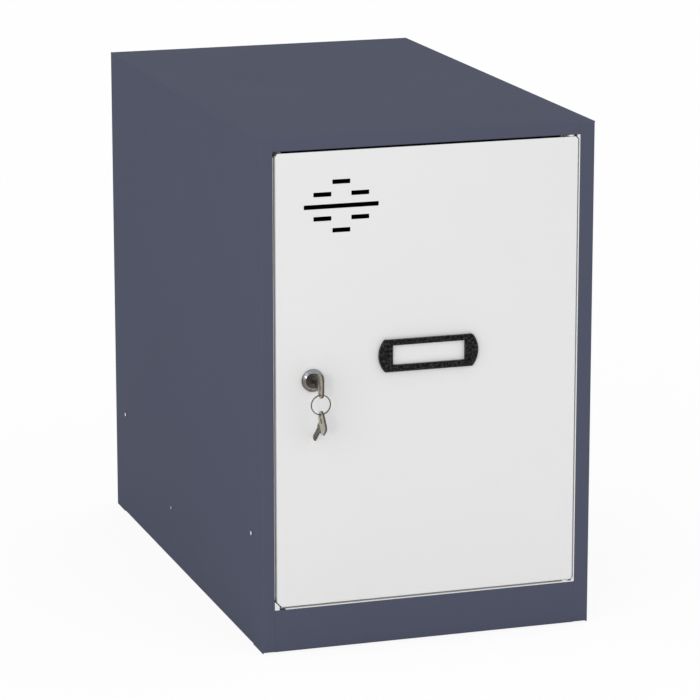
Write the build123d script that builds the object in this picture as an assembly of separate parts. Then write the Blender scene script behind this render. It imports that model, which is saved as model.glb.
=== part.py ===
from build123d import *
import math
import os

# Small steel locker with one door, a cam lock, keys and a card holder.
# While it is drawn, X runs to the right, Y back from the front plane and Z up from the floor.
# The last lines move it so that the origin is under the middle of the whole, on the floor.

# Body
body_width = 300.0
body_depth = 500.0
body_height = 450.0
sheet = 0.8
fold_radius = 0.9  # at the middle of the sheet
seam = 0.1  # hairline between sheets that are welded side by side
left_stile = 10.7
right_stile = 13.3
top_rail = 11.0
stile_return = 26.0
stile_tongue = 8.0
rear_flange = 16.0
foot_flange = 15.0
foot_flange_inset = 30.0
hem_flange = 15.0
plinth_height = 38.5
plinth_lift = 0.7
plinth_foot = 12.0
plinth_shelf = 34.0
floor_flange = 20.0

# Light rebate frame round the opening
lining = 0.8
lining_setback = 0.4
strike_setback = 2.2  # the lining on the lock side stands further back
stop_leg = 13.0
stop_gap = 2.4
sill_notch_length = 5.5
sill_notch_depth = 5.0

# Door pan
door_thickness = 18.0
gap_left = 2.1
gap_right = 0.9
gap_top = 1.6
gap_bottom = 1.4
door_return = 10.0
cut_low = 4.7  # the door's bottom corner on the lock side
cut_hinge = 2.6
cut_high_width = 1.8
cut_high_drop = 3.1
corner_slit = 0.9
low_plate_reach = 2.2
hinge_plate_tip = 0.8
channel_drop = 6.0
channel_leg = 10.0
channel_side_gap = 0.4
stiffener_from_edge = 56.0
stiffener_foot = 10.0
stiffener_crown = 20.0
stiffener_depth = 10.0
stiffener_end = 30.0

# Ventilation slots
vent_from_left = 58.2
vent_from_top = 47.3
vent_pitch = 10.4
vent_slot_height = 4.0
vent_slot_length = 16.0
vent_slot_spread = 33.6
vent_long_slot = 66.6
vent_corner = 0.6

# Pivot hinges
pin_radius = 1.5
pin_edge = 6.0
pin_depth = 3.7
pin_tail = 2.0
running = 0.05
bush_wall = 0.4
bush_flange_radius = 3.1
bush_play = 0.2
bracket_thickness = 2.5
bracket_width = 15.0
bracket_leg = 20.0
hinge_plate_thickness = 2.0
hinge_plate_reach = 9.0
hinge_plate_depth = 20.0

# Cam lock
lock_backset = 32.3
lock_height = 199.6
lock_barrel_radius = 8.0
lock_head_radius = 9.85
lock_head_height = 3.0
lock_rim_width = 2.6
lock_rim_drop = 1.1
lock_head_bevel = 0.9
plug_radius = 6.3
plug_sink = 0.6
washer_radius = 11.5
washer_thickness = 0.8
nut_across_flats = 22.0
nut_thickness = 3.5
tail_side = 7.0
cam_thickness = 2.0
cam_gap = 0.5
cam_reach = 30.0
cam_width = 14.0
cam_screw_head_radius = 5.0
cam_screw_head_height = 2.0
cam_screw_radius = 2.0
cam_screw_length = 7.0
assembly_play = 0.05
washer_teeth = 12

# Keys and their ring
bow_height = 20.5
bow_depth = 13.5
bow_top_depth = 9.5
bow_thickness = 2.0
bow_edge = 0.35
bow_stand = 13.5  # from the lock's head to the bow
bow_hole_radius = 1.6
bow_hole_edge = 3.6
bow_slot_length = 4.0
bow_slot_width = 1.4
bow_slot_gap = 1.2
blade_length = 24.0
blade_height = 5.6
blade_thickness = 1.9
blade_shoulder_height = 8.0
blade_shoulder_length = 6.0
blade_cut_depth = 0.9
blade_cut_radius = 0.9
blade_cut_pitch = 2.7
blade_cuts = 3
keyway_play = 0.15
keyway_extra = 1.0
ring_radius = 8.4
ring_wire_radius = 0.55
ring_play = 0.15
spare_tilt = 40.9

# Card holder
holder_height = 216.3
holder_straight = 79.3
holder_end_bulge = 5.3
holder_tall = 28.3
holder_depth = 4.5
holder_bevel = 1.4
holder_corner = 2.0
window_width = 65.5
window_height = 17.4
window_rise = 0.5
window_corner = 0.8
window_bevel = 1.0
pocket_width = 74.0
pocket_depth = 0.9
pocket_floor = 4.0
peg_radius = 2.0
peg_length = 4.5
peg_inset = 4.6
push_nut_radius = 4.5
push_nut_thickness = 0.5
card_width = 72.0
card_thickness = 0.4
card_play = 0.25

# Fittings on the sides and in the rebate
joining_hole_radius = 2.4
plugged_hole_radius = 2.15
joining_hole_height = 100.0
joining_hole_from_front = 33.0
joining_hole_from_back = 38.5
hole_plug_radius = 2.6
hole_plug_height = 0.7
hole_plug_length = 3.0
rivet_radius = 1.2
rivet_head_radius = 2.5
rivet_head_height = 0.8
rivet_tail_radius = 1.9
rivet_tail_height = 1.2
rivet_height = 11.5
rivet_from_front = 296.0
buffer_radius = 4.0
buffer_play = 0.3
buffer_stem_radius = 1.6
buffer_foot_radius = 2.4
buffer_foot_height = 1.2
buffer_from_end = 55.0

past = 1.0  # how far a cut runs past a face, or one shape into the next

# Lines that several pieces share
left = -body_width / 2
right = body_width / 2
opening_left = left + left_stile
opening_right = right - right_stile
opening_top = body_height - top_rail
opening_bottom = plinth_height
sill_top = opening_bottom + lining
jamb_face = opening_right - lining
door_left = opening_left + gap_left
door_right = jamb_face - gap_right
door_top = opening_top - gap_top
door_bottom = sill_top + gap_bottom
door_middle = (door_left + door_right) / 2
stop_face = door_thickness + stop_gap
stop_back = stop_face + lining
sill_stop_top = sill_top + stop_leg
head_stop_bottom = opening_top - lining - stop_leg
strike_face = opening_left + lining
strike_edge = opening_left + stop_leg
top_underside = body_height - sheet
back_flange_face = body_depth - sheet
back_panel_face = back_flange_face - sheet
wall_inside = right - sheet
fold_inside = fold_radius - sheet / 2
floor_top = opening_bottom + sheet
floor_front = stile_return + seam
floor_back = back_panel_face - seam
hinge_x = door_right - pin_edge
hinge_y = pin_depth
bush_tube_radius = pin_radius + running + bush_wall
bush_hole_radius = bush_tube_radius + assembly_play
bracket_top = door_top - channel_drop
bracket_right = door_right - sheet - fold_inside
bracket_front = sheet + fold_inside
bracket_left = bracket_right - bracket_width
bracket_back = door_thickness - sheet - channel_side_gap
lock_x = door_left + lock_backset
lock_z = door_bottom + lock_height
cam_front = stop_back + cam_gap
cam_back = cam_front + cam_thickness
tail_front = cam_front - assembly_play
plug_front = plug_sink - lock_head_height
keyway_height = blade_height + 2 * keyway_play
bow_back = -lock_head_height - bow_stand
bow_middle_y = bow_back - bow_depth / 2
bow_hole_drop = bow_height / 2 - bow_hole_edge
ring_y = bow_middle_y
ring_top_z = lock_z - bow_hole_drop - (bow_hole_radius - ring_wire_radius - ring_play)
ring_centre_z = ring_top_z - ring_radius
ring_bottom_z = ring_centre_z - ring_radius
spare_hole_z = ring_bottom_z - (bow_hole_radius - ring_wire_radius - ring_play)
holder_x = door_middle
holder_z = door_bottom + holder_height
holder_half = holder_straight / 2
peg_x = holder_half + holder_end_bulge - peg_inset
pocket_bottom = holder_z - holder_tall / 2 + pocket_floor
card_bottom = pocket_bottom + card_play
card_top = holder_z + holder_tall / 2 - holder_bevel
joining_hole_ys = [joining_hole_from_front, body_depth - joining_hole_from_back]
rivet_z = floor_top + rivet_height
buffer_x = (opening_left + strike_edge) / 2
buffer_zs = [sill_stop_top + buffer_from_end, head_stop_bottom - buffer_from_end]
vent_x = door_left + vent_from_left
vent_z = door_top - vent_from_top


def block(x0, x1, y0, y1, z0, z1):
    """Box between two corners."""
    centre = Pos((x0 + x1) / 2, (y0 + y1) / 2, (z0 + z1) / 2)
    return centre * Box(x1 - x0, y1 - y0, z1 - z0)


def rod_x(radius, x0, x1, y, z):
    """Round bar along X."""
    return Pos((x0 + x1) / 2, y, z) * Rot(0, 90, 0) * Cylinder(radius, x1 - x0)


def rod_y(radius, y0, y1, x, z):
    """Round bar along Y."""
    return Pos(x, (y0 + y1) / 2, z) * Rot(90, 0, 0) * Cylinder(radius, y1 - y0)


def rod_z(radius, z0, z1, x, y):
    """Round bar along Z."""
    return Pos(x, y, (z0 + z1) / 2) * Cylinder(radius, z1 - z0)


def folded(points, thickness):
    """Section of a folded sheet, from the corners of its middle line."""
    return trace(FilletPolyline(*points, radius=fold_radius), line_width=thickness)


def fold_along_z(points, z0, z1, thickness=sheet):
    """Folded sheet whose corners are given as X and Y."""
    return Pos(0, 0, z0) * extrude(folded(points, thickness), z1 - z0)


def fold_along_x(points, x0, x1, thickness=sheet):
    """Folded sheet whose corners are given as Y and Z."""
    return Pos(x0, 0, 0) * extrude(Plane.YZ * folded(points, thickness), x1 - x0)


def fold_along_y(points, y0, y1, thickness=sheet):
    """Folded sheet whose corners are given as X and Z."""
    return Pos(0, y1, 0) * extrude(Plane.XZ * folded(points, thickness), y1 - y0)


def together(group):
    """Several separate solids as one piece."""
    return Compound([solid for member in group for solid in member.solids()])


def flat_ended(panel, side, inner):
    """Takes the stile's return off beside the rail and the plinth, which butt on its flat edge."""
    bend = fold_radius + sheet / 2
    fold_x = sorted((inner + side * bend, inner))
    behind_x = sorted((inner + side * (stile_tongue + past), inner - side * past))
    for z0, z1 in ((bend, opening_bottom), (opening_top, top_underside)):
        panel -= block(*behind_x, sheet, stile_return + past, z0, z1)
        panel += block(*fold_x, 0, sheet, z0, z1)
    return panel


def side_panel(side, return_end, hole_radius):
    """Side wall with its stile, rear flange and foot flange; side is -1 or 1."""
    half = sheet / 2
    wall = side * (right - half)
    stile = return_end + [
        (return_end[-1][0], half),
        (wall, half),
        (wall, body_depth - half),
        (side * (right - rear_flange), body_depth - half),
    ]
    foot = [
        (side * (right - foot_flange), half),
        (wall, half),
        (wall, fold_radius + sheet),
    ]
    panel = fold_along_z(stile, fold_radius + half, top_underside)
    inner = opening_left if side < 0 else opening_right
    panel = flat_ended(panel, side, inner)
    foot_start = foot_flange_inset
    foot_end = body_depth - foot_flange_inset
    panel += fold_along_y(foot, foot_start, foot_end)
    x0, x1 = sorted((side * wall_inside, side * right))
    corner = fold_radius + half
    panel += block(x0, x1, corner, foot_start, 0, corner + sheet)
    panel += block(x0, x1, foot_end, body_depth - corner, 0, corner + sheet)
    for y in joining_hole_ys:
        panel -= rod_x(hole_radius, x0 - past, x1 + past, y, joining_hole_height)
    panel -= rod_x(rivet_radius + assembly_play, x0 - past, x1 + past, rivet_from_front, rivet_z)
    return panel


def left_side_panel():
    """Left wall; a tongue behind its stile carries the strike strip."""
    half = sheet / 2
    inner = opening_left - half
    tongue = [(opening_left - stile_tongue, stop_face - half), (inner, stop_face - half)]
    return side_panel(-1, tongue, plugged_hole_radius)


def right_side_panel():
    """Right wall; the hinge jamb lines the return of its stile."""
    return side_panel(1, [(opening_right + sheet / 2, stile_return)], joining_hole_radius)


def top_panel():
    """Lid of the body with the rail over the door and hems inside the walls."""
    half = sheet / 2
    x0 = opening_left + seam
    x1 = opening_right - seam
    lid = block(left, right, 0, body_depth, top_underside, body_height)
    lid = chamfer(lid.edges().group_by(Axis.Z)[-1], sheet / 3)
    bend = fold_radius + sheet
    lid -= block(x0, x1, -past, bend, top_underside - past, body_height + past)
    rail = [
        (bend + half, body_height - half),
        (half, body_height - half),
        (half, opening_top + half),
        (stile_return, opening_top + half),
    ]
    lid += fold_along_x(rail, x0, x1)
    hem_front = stile_return + seam
    hem_back = back_panel_face - seam
    hem_low = top_underside - hem_flange
    for side in (-1, 1):
        outer = side * (wall_inside - seam)
        inner = outer - side * sheet
        lid += block(*sorted((outer, inner)), hem_front, hem_back, hem_low, top_underside)
    hem_x = wall_inside - seam
    lid += block(-hem_x, hem_x, hem_back - sheet, hem_back, hem_low, top_underside)
    lid -= rod_z(bush_hole_radius, opening_top - past, opening_top + sheet + past, hinge_x, hinge_y)
    return lid


def back_panel():
    """Flat back, inside the rear flanges."""
    x = wall_inside - fold_inside
    return block(-x, x, back_panel_face, back_flange_face, sheet, top_underside - seam)


def plinth():
    """Kick plate between the stiles, with a shelf under the sill and the floor."""
    half = sheet / 2
    profile = [
        (plinth_foot, plinth_lift + half),
        (half, plinth_lift + half),
        (half, opening_bottom - half),
        (plinth_shelf, opening_bottom - half),
    ]
    plate = fold_along_x(profile, opening_left + seam, opening_right - seam)
    low = opening_bottom - sheet - past
    return plate - rod_z(bush_hole_radius, low, opening_bottom + past, hinge_x, hinge_y)


def floor_panel():
    """Floor of the compartment, a tray with its edges turned up against the walls."""
    half = sheet / 2
    wall = wall_inside - seam - half
    top = floor_top + floor_flange
    profile = [
        (-wall, top),
        (-wall, opening_bottom + half),
        (wall, opening_bottom + half),
        (wall, top),
    ]
    tray = fold_along_y(profile, floor_front, floor_back)
    tray += block(-wall, wall, floor_back - sheet, floor_back, opening_bottom + half, top)
    for side in (-1, 1):
        x = side * wall
        tray -= rod_x(rivet_radius + assembly_play, x - past, x + past, rivet_from_front, rivet_z)
    return tray


def sill():
    """Light lining under the door with the stop behind it."""
    half = lining / 2
    profile = [
        (lining_setback, opening_bottom + half),
        (stop_face + half, opening_bottom + half),
        (stop_face + half, sill_stop_top),
    ]
    strip = fold_along_x(profile, opening_left + seam, opening_right - seam, lining)
    notch = door_left + low_plate_reach
    notch_end = notch + sill_notch_length
    strip -= block(notch, notch_end, -past, sill_notch_depth, opening_bottom - past, sill_top + past)
    return strip - rod_z(bush_hole_radius, opening_bottom - past, sill_top + past, hinge_x, hinge_y)


def hinge_jamb():
    """Light lining on the hinge side with the stop behind the door."""
    half = lining / 2
    profile = [
        (jamb_face + half, lining_setback),
        (jamb_face + half, stop_face + half),
        (jamb_face - stop_leg, stop_face + half),
    ]
    strip = fold_along_z(profile, sill_stop_top + seam, head_stop_bottom - seam, lining)
    low_top = sill_stop_top + past
    low_back = stop_face - fold_inside
    high_bottom = head_stop_bottom - past
    strip += block(jamb_face, opening_right, lining_setback, low_back, sill_top, low_top)
    strip += block(jamb_face, opening_right, lining_setback, stop_back, high_bottom, opening_top)
    return strip


def strike_strip():
    """Light strip behind the door's free edge; the cam turns behind it."""
    start = opening_left - stile_tongue
    low = sill_stop_top + seam
    strip = block(start, strike_edge, stop_face, stop_back, low, head_stop_bottom - seam)
    for z in buffer_zs:
        hole = buffer_stem_radius + assembly_play
        strip -= rod_y(hole, stop_face - past, stop_back + past, buffer_x, z)
    return strip


def strike_lining():
    """Light lining on the lock side, above the corner plate."""
    low = door_bottom + cut_low + gap_left
    high = door_top - cut_high_drop
    return block(opening_left, strike_face, strike_setback, stop_face - fold_inside, low, high)


def head_stop():
    """Dark angle under the rail, behind the door's top edge."""
    half = lining / 2
    profile = [
        (stile_return, opening_top - half),
        (stop_face + half, opening_top - half),
        (stop_face + half, head_stop_bottom),
    ]
    return fold_along_x(profile, opening_left + seam, jamb_face - seam, lining)


def corner_plate(frame_corner, door_corner, cut, reach):
    """Small plate in a corner of the frame, beside the door's cut corner."""
    x0, z0 = frame_corner
    x1, z1 = door_corner
    right_way = math.copysign(1, x1 - x0)
    up_way = math.copysign(1, z1 - z0)
    line = cut - corner_slit * math.sqrt(2)
    x_end = x1 + right_way * reach
    z_side = z1 + up_way * (line - right_way * (x0 - x1))
    z_end = z1 + up_way * (line - reach)
    outline = make_face(Polyline((x0, z0), (x0, z_side), (x_end, z_end), (x_end, z0), close=True))
    return Pos(0, lining_setback + lining, 0) * extrude(Plane.XZ * outline, lining)


def corner_plates():
    """Three plates that fill the frame's corners; the one over the lock side is left open."""
    x_left = opening_left + seam
    x_right = jamb_face - seam
    low = sill_top
    high = opening_top
    group = [
        corner_plate((x_left, low), (door_left, door_bottom), cut_low, low_plate_reach),
        corner_plate((x_right, low), (door_right, door_bottom), cut_hinge, hinge_plate_tip),
        corner_plate((x_right, high), (door_right, door_top), cut_hinge, hinge_plate_tip),
    ]
    return together(group)


def hinge_plate(z0):
    """Plate that backs the sheet round a hinge bush."""
    y0 = sheet + fold_radius - sheet / 2 + assembly_play
    x1 = hinge_x + hinge_plate_reach - seam
    x1 = min(x1, opening_right - 2 * seam)
    z1 = z0 + hinge_plate_thickness
    plate = block(hinge_x - hinge_plate_reach, x1, y0, y0 + hinge_plate_depth, z0, z1)
    return plate - rod_z(bush_hole_radius, z0 - past, z1 + past, hinge_x, hinge_y)


def upper_hinge_bush():
    """Flanged bush that hangs in the rail; its collar fills the gap over the door."""
    top = opening_top + sheet + hinge_plate_thickness
    bush = rod_z(bush_tube_radius, opening_top - sheet, top, hinge_x, hinge_y)
    bush += rod_z(bush_flange_radius, door_top + bush_play, opening_top, hinge_x, hinge_y)
    return bush - rod_z(pin_radius + running, door_top - past, top + past, hinge_x, hinge_y)


def lower_hinge_bush():
    """Flanged bush in the sill; the door stands on its collar."""
    bottom = opening_bottom - sheet - hinge_plate_thickness
    bush = rod_z(bush_tube_radius, bottom, sill_top + lining, hinge_x, hinge_y)
    bush += rod_z(bush_flange_radius, sill_top, door_bottom - bush_play, hinge_x, hinge_y)
    return bush - rod_z(pin_radius + running, bottom - past, door_bottom + past, hinge_x, hinge_y)


def door_buffers():
    """Two rubber buttons in the strike leg."""
    group = []
    for z in buffer_zs:
        button = rod_y(buffer_radius, door_thickness + buffer_play, stop_face, buffer_x, z)
        button = fillet(button.edges().group_by(Axis.Y)[0], (stop_gap - buffer_play) / 3)
        button += rod_y(buffer_stem_radius, stop_face - buffer_play, stop_back, buffer_x, z)
        button += rod_y(buffer_foot_radius, stop_back, stop_back + buffer_foot_height, buffer_x, z)
        group.append(button)
    return together(group)


def side_hole_plugs():
    """Snap-in plugs that close the joining holes of the left wall."""
    group = []
    for y in joining_hole_ys:
        seat = left - assembly_play
        head = rod_x(hole_plug_radius, seat - hole_plug_height, seat, y, joining_hole_height)
        head = fillet(head.edges().group_by(Axis.X)[0], hole_plug_height / 2)
        stem_start = left - hole_plug_height / 2
        stem_radius = plugged_hole_radius - assembly_play
        stem = rod_x(stem_radius, stem_start, stem_start + hole_plug_length, y, joining_hole_height)
        group.append(head + stem)
    return together(group)


def floor_rivets():
    """One blind rivet through each wall and the floor's turned-up edge."""
    group = []
    inside = wall_inside - seam - sheet
    for side in (-1, 1):
        x_in = side * inside
        x_out = side * right
        x_head = side * (right + rivet_head_height)
        x_tail = side * (inside - rivet_tail_height)
        shank_start = side * (right + rivet_head_height / 2)
        head = rod_x(rivet_head_radius, *sorted((x_out, x_head)), rivet_from_front, rivet_z)
        rim = head.edges().sort_by(Axis.X)[-1 if side > 0 else 0]
        head = fillet(rim, rivet_head_height / 2)
        shank = rod_x(rivet_radius, *sorted((x_tail, shank_start)), rivet_from_front, rivet_z)
        tail = rod_x(rivet_tail_radius, *sorted((x_in, x_tail)), rivet_from_front, rivet_z)
        group.append(head + shank + tail)
    return together(group)


def vent_slots():
    """Slots in a diamond: one, two, one long, two, one."""
    rows = [(2, 1), (1, 2), (-1, 2), (-2, 1)]
    slots = [Pos(vent_x, 0, vent_z) * slot_cutter(vent_long_slot)]
    for row, count in rows:
        for index in range(count):
            shift = (index - (count - 1) / 2) * vent_slot_spread
            place = Pos(vent_x + shift, 0, vent_z + row * vent_pitch)
            slots.append(place * slot_cutter(vent_slot_length))
    return slots


def slot_cutter(length):
    """Rounded bar that cuts one slot through the door's face."""
    outline = Plane.XZ * RectangleRounded(length, vent_slot_height, vent_corner)
    return extrude(outline, 2 * sheet, both=True)


def corner_cutter(x, z, width, height):
    """Bar that cuts a corner off the door; width and height point into the door."""
    upper = (x - width, z + 2 * height)
    lower = (x + 2 * width, z - height)
    outline = make_face(Polyline(upper, lower, (x - width, z - height), close=True))
    return Pos(0, door_thickness + past, 0) * extrude(Plane.XZ * outline, door_thickness + 2 * past)


def door_panel():
    """Pan-shaped door with folded sides and bottom, its slots and the lock's hole."""
    half = sheet / 2
    back = door_thickness - half
    bend = fold_radius + half
    sides = [
        (door_left + door_return, back),
        (door_left + half, back),
        (door_left + half, half),
        (door_right - half, half),
        (door_right - half, back),
        (door_right - door_return, back),
    ]
    bottom = [
        (half, door_bottom + bend + past),
        (half, door_bottom + half),
        (door_thickness - sheet, door_bottom + half),
    ]
    panel = fold_along_z(sides, door_bottom + bend, door_top)
    panel += fold_along_x(bottom, door_left + bend, door_right - bend)
    panel -= corner_cutter(door_left, door_bottom, cut_low, cut_low)
    panel -= corner_cutter(door_right, door_bottom, -cut_hinge, cut_hinge)
    panel -= corner_cutter(door_left, door_top, cut_high_width, -cut_high_drop)
    panel -= corner_cutter(door_right, door_top, -cut_hinge, -cut_hinge)
    for slot in vent_slots():
        panel -= slot
    panel -= rod_y(lock_barrel_radius + assembly_play, -past, sheet + past, lock_x, lock_z)
    for side in (-1, 1):
        peg_hole = holder_x + side * peg_x
        panel -= rod_y(peg_radius + assembly_play, -past, sheet + past, peg_hole, holder_z)
    low = door_bottom - past
    return panel - rod_z(pin_radius + assembly_play, low, door_bottom + sheet + past, hinge_x, hinge_y)


def door_top_channel():
    """Channel that closes the pan a little below its top edge."""
    half = sheet / 2
    front = sheet + half
    back = bracket_back - half
    low = bracket_top - channel_leg
    profile = [
        (front, low),
        (front, bracket_top - half),
        (back, bracket_top - half),
        (back, low),
    ]
    return fold_along_x(profile, door_left + sheet + fold_inside, bracket_left - seam)


def door_stiffener():
    """Upright hat section behind the door's face."""
    half = sheet / 2
    x = door_right - stiffener_from_edge
    foot = sheet + half
    crown = sheet + stiffener_depth
    profile = [
        (x - stiffener_crown / 2 - stiffener_foot, foot),
        (x - stiffener_crown / 2, foot),
        (x - stiffener_crown / 2, crown),
        (x + stiffener_crown / 2, crown),
        (x + stiffener_crown / 2, foot),
        (x + stiffener_crown / 2 + stiffener_foot, foot),
    ]
    return fold_along_z(profile, door_bottom + stiffener_end, door_top - stiffener_end)


def pivot_bracket(plate_z, leg_z0, leg_z1):
    """Angle in the door's hinge corner that carries a pin."""
    top = plate_z + bracket_thickness
    plate = block(bracket_left, bracket_right, bracket_front, bracket_back, plate_z, top)
    leg_left = bracket_right - bracket_thickness
    clear = pin_depth + pin_radius + running + seam
    plate += block(leg_left, bracket_right, clear, bracket_back, leg_z0, leg_z1)
    return plate - rod_z(pin_radius + assembly_play, plate_z - past, top + past, hinge_x, hinge_y)


def upper_pivot_bracket():
    """Angle level with the channel at the door's top."""
    plate_z = bracket_top - bracket_thickness
    return pivot_bracket(plate_z, plate_z - bracket_leg, plate_z + bracket_thickness)


def lower_pivot_bracket():
    """Angle on the door's bottom flange."""
    plate_z = door_bottom + sheet
    return pivot_bracket(plate_z, plate_z, plate_z + bracket_thickness + bracket_leg)


def upper_hinge_pin():
    """Pin from the upper bracket into the bush of the rail."""
    low = bracket_top - bracket_thickness - pin_tail / 2
    high = opening_top + sheet + hinge_plate_thickness + pin_tail
    pin = rod_z(pin_radius, low, high, hinge_x, hinge_y)
    return chamfer(pin.edges().group_by(Axis.Z)[-1], pin_radius / 4)


def lower_hinge_pin():
    """Pin from the lower bracket into the bush of the sill."""
    low = opening_bottom - sheet - hinge_plate_thickness - pin_tail
    high = door_bottom + sheet + bracket_thickness + pin_tail / 2
    pin = rod_z(pin_radius, low, high, hinge_x, hinge_y)
    return chamfer(pin.edges().group_by(Axis.Z)[0], pin_radius / 4)


def lock_housing():
    """Barrel of the cam lock with its round head in front of the door."""
    body = rod_y(lock_barrel_radius, -lock_head_height / 2, tail_front, lock_x, lock_z)
    head = rod_y(lock_head_radius, -lock_head_height, 0, lock_x, lock_z)
    head = chamfer(head.edges().group_by(Axis.Y)[0], lock_head_bevel)
    out = -lock_head_height - past
    recess_radius = lock_head_radius - lock_rim_width
    recess = rod_y(recess_radius, out, lock_rim_drop - lock_head_height, lock_x, lock_z)
    bore = rod_y(plug_radius + running, out, tail_front + past, lock_x, lock_z)
    return head + body - recess - bore


def lock_washer():
    """Toothed washer between the door and the nut."""
    back = sheet + washer_thickness
    ring = rod_y(washer_radius, sheet, back, lock_x, lock_z)
    ring -= rod_y(lock_barrel_radius + assembly_play, 0, back + past, lock_x, lock_z)
    bite = washer_radius / washer_teeth
    for index in range(washer_teeth):
        angle = 2 * math.pi * index / washer_teeth
        x = lock_x + washer_radius * math.cos(angle)
        z = lock_z + washer_radius * math.sin(angle)
        ring -= rod_y(bite, 0, back + past, x, z)
    return ring


def lock_nut():
    """Hexagon nut that clamps the lock in the door."""
    back = sheet + washer_thickness + nut_thickness
    outline = Plane.XZ * RegularPolygon(nut_across_flats / 2, 6, major_radius=False)
    nut = Pos(lock_x, back, lock_z) * extrude(outline, nut_thickness)
    return nut - rod_y(lock_barrel_radius + assembly_play, 0, back + past, lock_x, lock_z)


def square_bar(half, y0, y1):
    """Square bar along Y on the lock's axis."""
    return block(lock_x - half, lock_x + half, y0, y1, lock_z - half, lock_z + half)


def lock_plug():
    """Turning plug with its keyway and a square tail for the cam."""
    plug = rod_y(plug_radius, plug_front, tail_front, lock_x, lock_z)
    slot = blade_thickness / 2 + keyway_play
    depth = bow_back + blade_length + keyway_extra
    tall = keyway_height / 2
    plug += square_bar(tail_side / 2, tail_front - past, cam_back)
    plug -= block(lock_x - slot, lock_x + slot, plug_front - past, depth, lock_z - tall, lock_z + tall)
    screw_end = cam_back - cam_screw_length
    return plug - rod_y(cam_screw_radius + assembly_play, screw_end, cam_back + past, lock_x, lock_z)


def lock_cam():
    """Flat bar on the plug's tail; it hangs down when the lock is open."""
    width = cam_width / 2
    bar = rod_y(width, cam_front, cam_back, lock_x, lock_z)
    tip = lock_z - cam_reach + width
    bar += block(lock_x - width, lock_x + width, cam_front, cam_back, tip, lock_z)
    bar += rod_y(width, cam_front, cam_back, lock_x, tip)
    return bar - square_bar(tail_side / 2 + assembly_play, cam_front - past, cam_back + past)


def cam_screw():
    """Pan-head screw that holds the cam."""
    head = rod_y(cam_screw_head_radius, cam_back, cam_back + cam_screw_head_height, lock_x, lock_z)
    head = fillet(head.edges().group_by(Axis.Y)[-1], cam_screw_head_height / 3)
    slot = cam_screw_head_height / 4
    deep = cam_back + cam_screw_head_height / 2
    x0 = lock_x - cam_screw_head_radius
    x1 = lock_x + cam_screw_head_radius
    head -= block(x0, x1, deep, deep + cam_screw_head_height, lock_z - slot, lock_z + slot)
    start = cam_back - cam_screw_length + assembly_play
    return head + rod_y(cam_screw_radius, start, cam_back + assembly_play, lock_x, lock_z)


def bow_outline():
    """Side view of a key's bow: X away from the blade, Y up, the round end with the hole below."""
    half = bow_depth / 2
    top_half = bow_top_depth / 2
    low = -bow_height / 2
    high = bow_height / 2
    corner = bow_top_depth / 3
    outline = make_face(
        Polyline(
            (-half, low + half), (half, low + half), (half, high - corner),
            (top_half, high), (-top_half, high), (-half, high - corner), close=True,
        )
    )
    outline = fillet(outline.vertices().group_by(Axis.Y)[-1], corner / 2)
    outline += Pos(0, low + half) * Circle(half)
    outline -= Pos(0, low + bow_hole_edge) * Circle(bow_hole_radius)
    slot_y = low + bow_hole_edge + bow_hole_radius + bow_slot_gap + bow_slot_length / 2
    return outline - Pos(0, slot_y) * Rot(0, 0, 90) * SlotOverall(bow_slot_length, bow_slot_width)


def blade_outline():
    """Side view of a key's blade, pointing to negative X from the bow's middle."""
    start = -bow_depth / 2
    shoulder = start - blade_shoulder_length
    tip = start - blade_length
    point = blade_height / 3
    neck = Rectangle(blade_shoulder_length + past, blade_shoulder_height)
    outline = Pos((start + shoulder + past) / 2, 0) * neck
    half = blade_height / 2
    outline += make_face(
        Polyline(
            (start, half), (tip + point, half), (tip, half - point),
            (tip, point - half), (tip + point, -half), (start, -half), close=True,
        )
    )
    for index in range(blade_cuts):
        x = tip + point + blade_cut_radius + index * blade_cut_pitch
        for side in (-1, 1):
            y = side * (half + blade_cut_radius - blade_cut_depth)
            outline -= Pos(x + (1 - side) * blade_cut_pitch / 4, y) * Circle(blade_cut_radius)
    return outline


def key_shape():
    """Key lying in the YZ plane, its bow's middle at the origin and its blade towards +Y."""
    flip = Plane(origin=(0, 0, 0), x_dir=(0, -1, 0), z_dir=(-1, 0, 0))
    bow = extrude(flip * bow_outline(), bow_thickness / 2, both=True)
    rims = bow.faces().sort_by(Axis.X)
    rim_edges = rims[0].outer_wire().edges() + rims[-1].outer_wire().edges()
    bow = chamfer(rim_edges, bow_edge)
    blade = extrude(flip * blade_outline(), blade_thickness / 2, both=True)
    return bow + blade


def key():
    """Key in the lock, its bow upright."""
    return Pos(lock_x, bow_middle_y, lock_z) * key_shape()


def spare_key():
    """Second key, hanging by its hole from the bottom of the ring."""
    hang = Pos(0, 0, bow_height / 2 - bow_hole_edge)
    turn = Rot(180 - spare_tilt, 0, 0) * Rot(0, 0, 180)
    return Pos(lock_x, ring_y, spare_hole_z) * turn * hang * key_shape()


def key_ring():
    """Wire ring through the holes of both keys."""
    return Pos(lock_x, ring_y, ring_centre_z) * Rot(90, 0, 0) * Torus(ring_radius, ring_wire_radius)


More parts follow.
